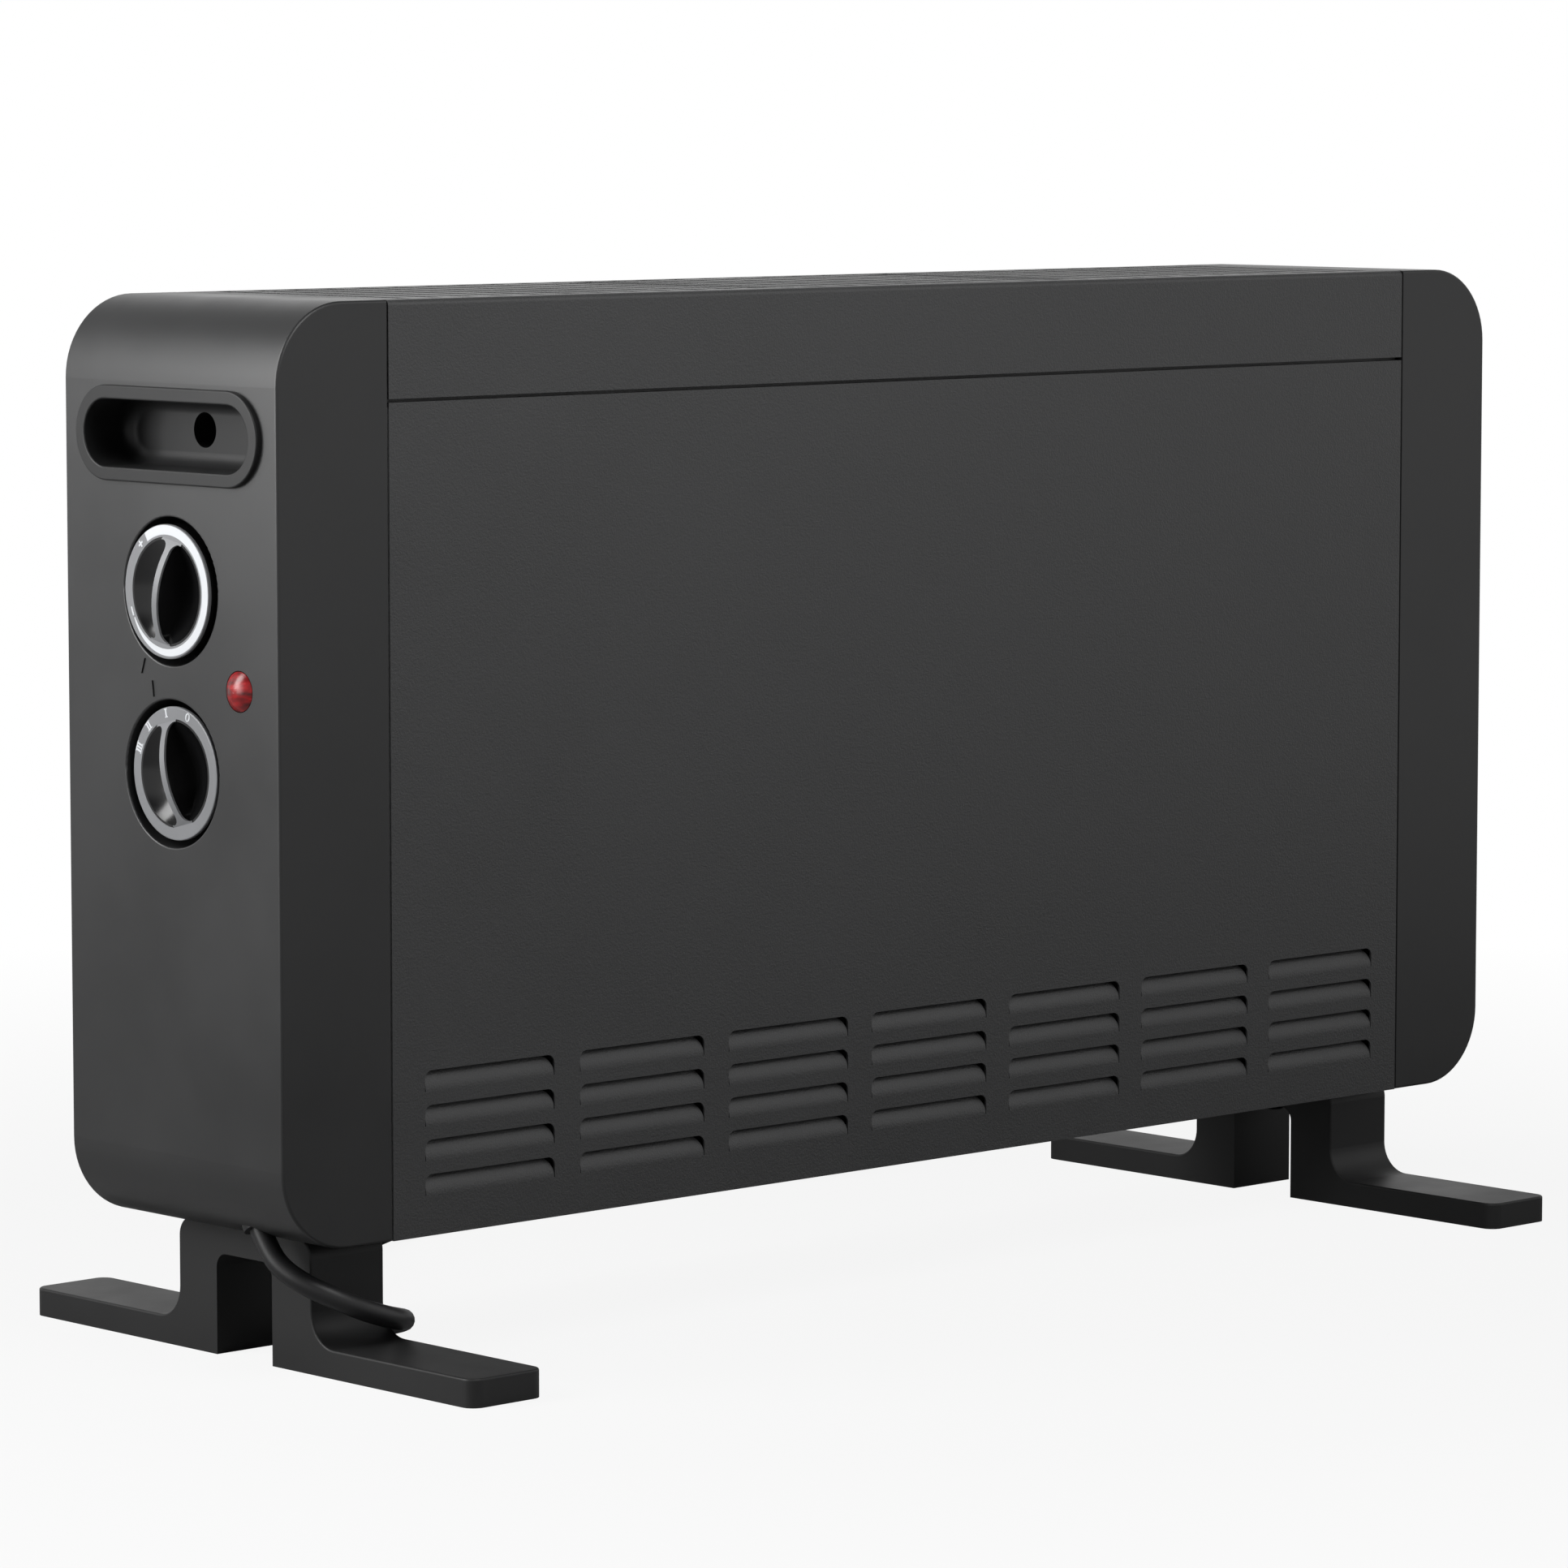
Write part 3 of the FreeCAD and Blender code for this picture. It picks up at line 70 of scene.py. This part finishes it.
# Mains cord: the lead round the left foot, the put-away coil behind the casing, and the tail to the plug
cord_diameter = 7.5
lead_route = [
    (-283.0, -23.6, 50.3),
    (-283.0, -28.23, 43.17),
    (-282.4, -34.3, 37.4),
    (-279.2, -43.1, 32.6),
    (-272.7, -50.4, 28.2),
    (-263.9, -54.5, 23.8),
    (-253.8, -54.6, 20.2),
    (-244.1, -50.8, 17.6),
    (-236.2, -43.6, 15.4),
    (-230.9, -34.2, 12.8),
    (-227.6, -23.6, 10.0),
    (-223.4, -12.2, 7.2),
    (-217.4, 1.2, 5.0),
    (-209.2, 17.4, 3.8),
    (-198.2, 35.6, 3.8),
    (-184.0, 56.6, 3.8),
    (-167.0, 77.6, 3.8),
    (-147.4, 98.4, 3.8),
    (-126.6, 118.4, 3.8),
    (-103.2, 138.0, 3.8),
    (-76.4, 151.4, 4.1),
    (-51.0, 156.4, 5.2),
    (-32.5, 157.5, 5.65),
    (-17.5, 157.5, 5.65),
]
tail_route = [
    (-2.5, 157.5, 13.85),
    (9.5, 157.5, 13.85),
    (26.0, 157.9, 13.3),
    (39.0, 159.0, 14.8),
    (51.0, 160.0, 17.4),
    (62.0, 160.3, 18.6),
    (74.0, 160.3, 18.6),
]
coil_middle = (-10.0, 207.0)
coil_inner_radius = 32.7
coil_turn_pitch = 8.4
coil_layer_pitch = 8.2
coil_lift = 5.65
coil_turns = 4
climb_share = 0.25
points_per_turn = 24


def coil_point(turns):
    """A point of the coil: it spirals in below, climbs for half a turn and spirals out above."""
    half = coil_turns / 2
    from_middle = abs(turns - half)
    eased = from_middle
    if from_middle <= climb_share:
        eased = from_middle ** 2 / (2 * climb_share) + climb_share / 2
    radius = coil_inner_radius + coil_turn_pitch * eased
    share = min(max((turns - half + climb_share) / (2 * climb_share), 0), 1)
    height = coil_lift + coil_layer_pitch * share * share * (3 - 2 * share)
    angle = 2 * math.pi * turns - math.pi / 2
    return (coil_middle[0] + radius * math.cos(angle), coil_middle[1] + radius * math.sin(angle), height)


coil_steps = coil_turns * points_per_turn
coil_route = [coil_point(i / points_per_turn) for i in range(coil_steps + 1)]
cord_points = lead_route + coil_route + tail_route
cord_curve = bpy.data.curves.new("mains_cord", "CURVE")
cord_curve.dimensions = "3D"
cord_curve.bevel_depth = 1.0
cord_curve.bevel_resolution = 6
cord_curve.use_fill_caps = True
cord_curve.resolution_u = 6
cord_spline = cord_curve.splines.new("NURBS")
cord_spline.points.add(len(cord_points) - 1)
for point, place in zip(cord_spline.points, cord_points):
    point.co = (place[0] * MM, place[1] * MM, place[2] * MM, 1.0)
    point.radius = cord_diameter / 2 * MM
cord_spline.order_u = 3
cord_spline.use_endpoint_u = True
mains_cord = linked(bpy.data.objects.new("mains_cord", cord_curve))
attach(mains_cord, "casing")
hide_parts("cord_lead", "cord_coil", "cord_tail")


# Materials
def new_material(name):
    """A node material, its tree, its shader and its object coordinates."""
    material = bpy.data.materials.new(name)
    material.use_nodes = True
    tree = material.node_tree
    shader = tree.nodes["Principled BSDF"]
    place = tree.nodes.new("ShaderNodeTexCoord").outputs["Object"]
    return material, tree, shader, place


def noise(tree, place, scale, detail=2.0, rough=0.5):
    node = tree.nodes.new("ShaderNodeTexNoise")
    node.inputs["Scale"].default_value = scale
    node.inputs["Detail"].default_value = detail
    node.inputs["Roughness"].default_value = rough
    tree.links.new(place, node.inputs["Vector"])
    return node.outputs["Fac"]


def ranged(tree, value, low, high, from_low=0.3, from_high=0.7):
    node = tree.nodes.new("ShaderNodeMapRange")
    node.inputs["From Min"].default_value = from_low
    node.inputs["From Max"].default_value = from_high
    node.inputs["To Min"].default_value = low
    node.inputs["To Max"].default_value = high
    tree.links.new(value, node.inputs["Value"])
    return node.outputs["Result"]


def ramp(tree, value, stops):
    node = tree.nodes.new("ShaderNodeValToRGB")
    elements = node.color_ramp.elements
    while len(elements) < len(stops):
        elements.new(0.5)
    for element, (position, colour) in zip(elements, stops):
        element.position = position
        element.color = (*colour, 1.0)
    tree.links.new(value, node.inputs["Fac"])
    return node.outputs["Color"]


def bump(tree, shader, height, strength, distance, under=None):
    node = tree.nodes.new("ShaderNodeBump")
    node.inputs["Strength"].default_value = strength
    node.inputs["Distance"].default_value = distance
    tree.links.new(height, node.inputs["Height"])
    if under is not None:
        tree.links.new(under, node.inputs["Normal"])
    tree.links.new(node.outputs["Normal"], shader.inputs["Normal"])
    return node.outputs["Normal"]


def shaded(colour, amount):
    return tuple(channel * amount for channel in colour)


cloud_scale = 14.0
cloud_detail = 4.0
grain_detail = 3.0
cloud_low, cloud_high = 0.25, 0.75
cloud_share = 0.6
grain_share = 0.4
rough_noise = 0.6
wave_detail = 1.0
dark_stop, plain_stop, light_stop = 0.2, 0.5, 0.8


def textured(
    name, colour, roughness, spread=0.12, grain=2200.0, grain_strength=0.25, grain_depth=0.00006,
    cloud_rough=0.06, specular=0.5, wave=None
):
    """A surface with a fine moulded or sprayed grain, and soft clouds in its colour and roughness."""
    material, tree, shader, place = new_material(name)
    clouds = noise(tree, place, cloud_scale, cloud_detail, rough_noise)
    fine = noise(tree, place, grain, grain_detail, rough_noise)
    mixed = tree.nodes.new("ShaderNodeMath")
    mixed.operation = "MULTIPLY_ADD"
    mixed.inputs[1].default_value = grain_share
    tree.links.new(fine, mixed.inputs[0])
    tree.links.new(ranged(tree, clouds, 0.0, cloud_share, cloud_low, cloud_high), mixed.inputs[2])
    darker = shaded(colour, 1 - spread)
    lighter = shaded(colour, 1 + spread)
    stops = [(dark_stop, darker), (plain_stop, colour), (light_stop, lighter)]
    tint = ramp(tree, mixed.outputs["Value"], stops)
    tree.links.new(tint, shader.inputs["Base Color"])
    rough = ranged(tree, clouds, roughness - cloud_rough, roughness + cloud_rough)
    tree.links.new(rough, shader.inputs["Roughness"])
    shader.inputs["Specular IOR Level"].default_value = specular
    under = None
    if wave is not None:
        wave_scale, wave_strength, wave_depth = wave
        waves = noise(tree, place, wave_scale, wave_detail)
        under = bump(tree, shader, waves, wave_strength, wave_depth)
    bump(tree, shader, fine, grain_strength, grain_depth, under)
    return material


line_scale = 400.0
line_rough = 0.7
line_shade = 0.82
line_strength = 0.15
line_depth = 0.00003
metal_cloud_scale = 20.0
metal_cloud_rough = 0.08


def brushed(name, colour, roughness, stretch):
    """Bare metal with fine lines along one axis."""
    material, tree, shader, place = new_material(name)
    mapping = tree.nodes.new("ShaderNodeMapping")
    mapping.inputs["Scale"].default_value = stretch
    tree.links.new(place, mapping.inputs["Vector"])
    lines = noise(tree, mapping.outputs["Vector"], line_scale, cloud_detail, line_rough)
    clouds = noise(tree, place, metal_cloud_scale, cloud_detail, rough_noise)
    tint = ramp(tree, lines, [(0.3, shaded(colour, line_shade)), (0.7, colour)])
    tree.links.new(tint, shader.inputs["Base Color"])
    rough = ranged(tree, clouds, roughness - metal_cloud_rough, roughness + metal_cloud_rough)
    tree.links.new(rough, shader.inputs["Roughness"])
    shader.inputs["Metallic"].default_value = 1.0
    bump(tree, shader, lines, line_strength, line_depth)
    return material


band_scale = 420.0
band_squash = (0.4, 0.4, 1.0)
red_dark = (0.065, 0.0007, 0.0013)
red_light = (0.33, 0.003, 0.0058)
lens_smooth, lens_rough = 0.2, 0.28
lens_specular = 0.4
lens_clear = 0.1
lens_index = 1.45
lens_wave_strength = 0.1
lens_wave_depth = 0.00008


def clear_red():
    """The lamp's moulded lens: deep red with level bands, and clear enough to hint at the lamp."""
    material, tree, shader, place = new_material("lens_red")
    mapping = tree.nodes.new("ShaderNodeMapping")
    mapping.inputs["Scale"].default_value = band_squash
    tree.links.new(place, mapping.inputs["Vector"])
    bands = noise(tree, mapping.outputs["Vector"], band_scale)
    tint = ramp(tree, bands, [(0.35, red_dark), (0.65, red_light)])
    tree.links.new(tint, shader.inputs["Base Color"])
    tree.links.new(ranged(tree, bands, lens_smooth, lens_rough), shader.inputs["Roughness"])
    shader.inputs["Specular IOR Level"].default_value = lens_specular
    shader.inputs["Transmission Weight"].default_value = lens_clear
    shader.inputs["IOR"].default_value = lens_index
    bump(tree, shader, bands, lens_wave_strength, lens_wave_depth)
    return material


materials = {
    "cap_plastic": textured(
        "cap_plastic", (0.0185, 0.0187, 0.0191), roughness=0.36, specular=0.3, wave=(420.0, 0.1, 0.0001)
    ),
    "handle_plastic": textured("handle_plastic", (0.0135, 0.0136, 0.0139), roughness=0.42, specular=0.18),
    "foot_plastic": textured("foot_plastic", (0.0125, 0.0125, 0.0127), roughness=0.5, specular=0.28),
    "casing_paint": textured(
        "casing_paint", (0.034, 0.0343, 0.0351), roughness=0.4, specular=0.36, grain=1500.0,
        grain_strength=0.9, grain_depth=0.0002, wave=(500.0, 0.1, 0.0001)
    ),
    "zinc_steel": brushed("zinc_steel", (0.62, 0.63, 0.64), roughness=0.38, stretch=(0.06, 1.0, 1.0)),
    "black_steel": brushed("black_steel", (0.04, 0.04, 0.042), roughness=0.45, stretch=(1.0, 1.0, 0.06)),
    # Painted shade: the heat shields inside the casing get a near-black coat so that the inside seen through
    # the louvres looks shaded; the bare sheet would be lighter.
    "shield_coat": textured("shield_coat", (0.02, 0.02, 0.02), roughness=0.75, specular=0.1),
    "element_metal": brushed("element_metal", (0.6, 0.6, 0.61), roughness=0.42, stretch=(0.04, 1.0, 1.0)),
    "ceramic": textured("ceramic", (0.8, 0.78, 0.73), roughness=0.4, spread=0.05, grain=900.0),
    "knob_black": textured(
        "knob_black", (0.005, 0.005, 0.0053), roughness=0.18, specular=0.36, grain=900.0,
        grain_strength=0.03, cloud_rough=0.03
    ),
    "ring_grey": textured(
        "ring_grey", (0.165, 0.168, 0.175), roughness=0.4, spread=0.05, specular=0.38, grain_strength=0.12
    ),
    "control_body": textured("control_body", (0.1, 0.1, 0.1), roughness=0.5),
    "lens_red": clear_red(),
    "lamp_body": textured("lamp_body", (0.8, 0.77, 0.7), roughness=0.4, spread=0.05),
    "wire_skin": textured("wire_skin", (0.3, 0.1, 0.05), roughness=0.4, spread=0.08),
    "cord_skin": textured(
        "cord_skin", (0.0095, 0.0095, 0.01), roughness=0.42, specular=0.3, grain=1400.0, grain_strength=0.2
    ),
    "plug_plastic": textured(
        "plug_plastic", (0.016, 0.016, 0.0168), roughness=0.4, specular=0.3, grain=1500.0
    ),
    "tie_black": textured(
        "tie_black", (0.02, 0.02, 0.0208), roughness=0.75, grain=1200.0, grain_strength=0.8
    ),
    "pin_metal": brushed("pin_metal", (0.75, 0.75, 0.74), roughness=0.2, stretch=(0.05, 1.0, 1.0)),
    "print_white": textured(
        "print_white", (0.56, 0.575, 0.595), roughness=0.45, spread=0.03, specular=0.2, grain=1800.0,
        grain_strength=0.08
    ),
}


def dressed(piece, material):
    piece.data.materials.clear()
    piece.data.materials.append(material)


for subpart in frame["record"]["subparts"]:
    dressed(nodes[subpart["node"]], materials[subpart["material_slot"]])
dressed(mains_cord, materials["cord_skin"])


# Dial marks, printed on the rings
ring_inner = 18.4
ring_outer = 22.6
print_height = 0.05
print_sink = 0.02


class DialPrint:
    """Collects flat printed shapes on one dial's ring, drawn as (right, up) from the dial's centre."""

    def __init__(self, face_x, centre_z):
        self.face_x = face_x
        self.centre_z = centre_z
        self.mesh = bmesh.new()

    def place(self, point, lift):
        across, up = point
        return Vector((self.face_x - lift, -across, self.centre_z + up)) * MM

    def shape(self, outline):
        """A closed thin slab with the given outline, counter-clockwise as seen from outside."""
        top = [self.mesh.verts.new(self.place(point, print_height)) for point in outline]
        low = [self.mesh.verts.new(self.place(point, -print_sink)) for point in outline]
        self.mesh.faces.new(top)
        self.mesh.faces.new(list(reversed(low)))
        count = len(outline)
        for i in range(count):
            after = (i + 1) % count
            self.mesh.faces.new((top[i], low[i], low[after], top[after]))

    def finished(self, name, body):
        bmesh.ops.recalc_face_normals(self.mesh, faces=self.mesh.faces[:])
        data = bpy.data.meshes.new(name)
        self.mesh.to_mesh(data)
        self.mesh.free()
        piece = linked(bpy.data.objects.new(name, data))
        dressed(piece, materials["print_white"])
        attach(piece, body)


def polar(radius, degrees):
    """A point at an angle counter-clockwise from straight up, as seen from outside."""
    angle = math.radians(degrees)
    return (-radius * math.sin(angle), radius * math.cos(angle))


def turned(points, radius, degrees):
    """Points drawn upright about the middle of the ring, turned so that their top faces outwards."""
    angle = math.radians(degrees)
    cos, sin = math.cos(angle), math.sin(angle)
    return [(x * cos - (radius + y) * sin, x * sin + (radius + y) * cos) for x, y in points]


def bar(x0, x1, y0, y1):
    return [(x0, y0), (x1, y0), (x1, y1), (x0, y1)]


mark_outset = 0.1
mark_radius = (ring_inner + ring_outer) / 2 + mark_outset

thermostat_face_x = -301.7
thermostat_z = 264.388
thermostat_print = DialPrint(thermostat_face_x, thermostat_z)
crescent_start = 31.2
crescent_end = -241.2
crescent_steps = 90
crescent_taper = 4.5
wide_outer, wide_inner = 22.3, 19.1
thin_outer, thin_inner = 20.0, 19.5
for step in range(crescent_steps):
    corners = []
    for share in (step / crescent_steps, (step + 1) / crescent_steps):
        degrees = crescent_start + (crescent_end - crescent_start) * share
        outer = wide_outer + (thin_outer - wide_outer) * share ** crescent_taper
        inner = wide_inner + (thin_inner - wide_inner) * share ** crescent_taper
        corners.append((polar(outer, degrees), polar(inner, degrees)))
    thermostat_print.shape([corners[0][0], corners[0][1], corners[1][1], corners[1][0]])
plus_reach, plus_half = 1.25, 0.32
plus_degrees = 41.6
minus_reach, minus_half = 1.55, 0.32
minus_degrees = 112.0
minus_inset = 0.7
plus_outline = [
    (-plus_half, -plus_reach), (plus_half, -plus_reach), (plus_half, -plus_half), (plus_reach, -plus_half),
    (plus_reach, plus_half), (plus_half, plus_half), (plus_half, plus_reach), (-plus_half, plus_reach),
    (-plus_half, plus_half), (-plus_reach, plus_half), (-plus_reach, -plus_half), (-plus_half, -plus_half),
]
thermostat_print.shape(turned(plus_outline, mark_radius, plus_degrees))
minus_outline = bar(-minus_reach, minus_reach, -minus_half, minus_half)
thermostat_print.shape(turned(minus_outline, mark_radius - minus_inset, minus_degrees))
thermostat_print.finished("thermostat_marks", "thermostat_dial")

selector_face_x = -298.8
selector_z = 203.115
selector_print = DialPrint(selector_face_x, selector_z)
glyph_half_height = 1.5
stem_half = 0.34
serif_thickness = 0.34
serif_reach = 0.42
stem_pitch = 1.12


def numeral(count, degrees):
    """A Roman one, two or three with serifs along its head and foot."""
    first = -(count - 1) / 2 * stem_pitch
    half = (count - 1) / 2 * stem_pitch + stem_half + serif_reach
    low, high = -glyph_half_height, glyph_half_height
    outlines = [bar(-half, half, low, low + serif_thickness), bar(-half, half, high - serif_thickness, high)]
    for index in range(count):
        x = first + index * stem_pitch
        outlines.append(bar(x - stem_half, x + stem_half, low + serif_thickness, high - serif_thickness))
    for outline in outlines:
        selector_print.shape(turned(outline, mark_radius, degrees))


numeral_degrees = (12.8, 42.7, 68.5)
for index, degrees in enumerate(numeral_degrees):
    numeral(index + 1, degrees)
nought_degrees = -20.0
nought_steps = 36
nought_half_width = 1.15
nought_stroke_side, nought_stroke_top = 0.55, 0.3
for step in range(nought_steps):
    quad = []
    for index in (step, step + 1):
        angle = 2 * math.pi * index / nought_steps
        outer = (nought_half_width * math.cos(angle), glyph_half_height * math.sin(angle))
        inner_width = nought_half_width - nought_stroke_side
        inner = (inner_width * math.cos(angle), (glyph_half_height - nought_stroke_top) * math.sin(angle))
        quad.append((outer, inner))
    outline = [quad[0][0], quad[1][0], quad[1][1], quad[0][1]]
    selector_print.shape(turned(outline, mark_radius, nought_degrees))
selector_print.finished("selector_marks", "selector_dial")


# Stage: a pale floor that shows white and keeps the shadow, white surroundings and soft lamps
def greater(tree, first, second):
    node = tree.nodes.new("ShaderNodeMath")
    node.operation = "MAXIMUM"
    tree.links.new(first, node.inputs[0])
    tree.links.new(second, node.inputs[1])
    return node.outputs["Value"]


def product(tree, first, second):
    node = tree.nodes.new("ShaderNodeMath")
    node.operation = "MULTIPLY"
    tree.links.new(first, node.inputs[0])
    tree.links.new(second, node.inputs[1])
    return node.outputs["Value"]


floor_half_size = 8.0
floor_grey = (0.38, 0.38, 0.38, 1.0)
floor_near_level = 0.9
floor_near = 0.35
floor_white_from = 1.0
mirror_dark_to = 0.3
mirror_white_from = 2.0
floor_mesh = bmesh.new()
bmesh.ops.create_grid(floor_mesh, x_segments=4, y_segments=4, size=floor_half_size)
floor_data = bpy.data.meshes.new("floor")
floor_mesh.to_mesh(floor_data)
floor_mesh.free()
floor = linked(bpy.data.objects.new("floor", floor_data))
floor_material = bpy.data.materials.new("floor_white")
floor_material.use_nodes = True
tree = floor_material.node_tree
tree.nodes.clear()
output = tree.nodes.new("ShaderNodeOutputMaterial")
matt = tree.nodes.new("ShaderNodeBsdfDiffuse")
matt.inputs["Color"].default_value = floor_grey
glow = tree.nodes.new("ShaderNodeEmission")
distance = tree.nodes.new("ShaderNodeVectorMath")
distance.operation = "LENGTH"
tree.links.new(tree.nodes.new("ShaderNodeTexCoord").outputs["Object"], distance.inputs[0])
path = tree.nodes.new("ShaderNodeLightPath")
seen = product(
    tree, path.outputs["Is Camera Ray"],
    ranged(tree, distance.outputs["Value"], floor_near_level, 1.0, floor_near, floor_white_from)
)
reflected = product(
    tree, greater(tree, path.outputs["Is Glossy Ray"], path.outputs["Is Transmission Ray"]),
    ranged(tree, distance.outputs["Value"], 0.0, 1.0, mirror_dark_to, mirror_white_from)
)
mix = tree.nodes.new("ShaderNodeMixShader")
tree.links.new(greater(tree, seen, reflected), mix.inputs["Fac"])
tree.links.new(matt.outputs["BSDF"], mix.inputs[1])
tree.links.new(glow.outputs["Emission"], mix.inputs[2])
tree.links.new(mix.outputs["Shader"], output.inputs["Surface"])
floor.data.materials.append(floor_material)

studio_white = (1.0, 1.0, 1.0, 1.0)
ambient_level = 0.06
overhead_level = 0.1
walls_to_height = 0.45
overhead_from_height = 0.66
world = bpy.data.worlds.new("studio")
bpy.context.scene.world = world
world.use_nodes = True
tree = world.node_tree
tree.nodes.clear()
output = tree.nodes.new("ShaderNodeOutputWorld")
ambient = tree.nodes.new("ShaderNodeBackground")
ambient.inputs["Color"].default_value = studio_white
ambient.inputs["Strength"].default_value = ambient_level
white = tree.nodes.new("ShaderNodeBackground")
white.inputs["Color"].default_value = studio_white
mix = tree.nodes.new("ShaderNodeMixShader")
path = tree.nodes.new("ShaderNodeLightPath")
direction = tree.nodes.new("ShaderNodeSeparateXYZ")
tree.links.new(tree.nodes.new("ShaderNodeTexCoord").outputs["Generated"], direction.inputs["Vector"])
reflected = product(
    tree, greater(tree, path.outputs["Is Glossy Ray"], path.outputs["Is Transmission Ray"]),
    ranged(tree, direction.outputs["Z"], 1.0, overhead_level, walls_to_height, overhead_from_height)
)
tree.links.new(greater(tree, path.outputs["Is Camera Ray"], reflected), mix.inputs["Fac"])
tree.links.new(ambient.outputs["Background"], mix.inputs[1])
tree.links.new(white.outputs["Background"], mix.inputs[2])
tree.links.new(mix.outputs["Shader"], output.inputs["Surface"])


def softbox(name, place, target, size, power):
    data = bpy.data.lights.new(name, "AREA")
    data.shape = "RECTANGLE"
    data.size, data.size_y = size
    data.energy = power
    lamp = linked(bpy.data.objects.new(name, data))
    lamp.location = place
    lamp.rotation_euler = (Vector(target) - Vector(place)).to_track_quat("-Z", "Y").to_euler()


softbox("key_lamp", place=(-0.26, -0.5, 0.76), target=(-0.12, -0.05, 0.2), size=(0.45, 0.45), power=3.8)
softbox("side_lamp", place=(-0.72, 0.27, 0.52), target=(-0.3, 0.0, 0.38), size=(0.25, 0.5), power=4.8)
softbox("left_lamp", place=(-1.25, 0.3, 0.35), target=(-0.3, 0.0, 0.2), size=(0.5, 0.5), power=4.1)
softbox("louvre_lamp", place=(0.75, -0.85, 0.85), target=(-0.15, -0.06, 0.09), size=(0.4, 0.4), power=1.1)

bpy.context.view_layer.update()
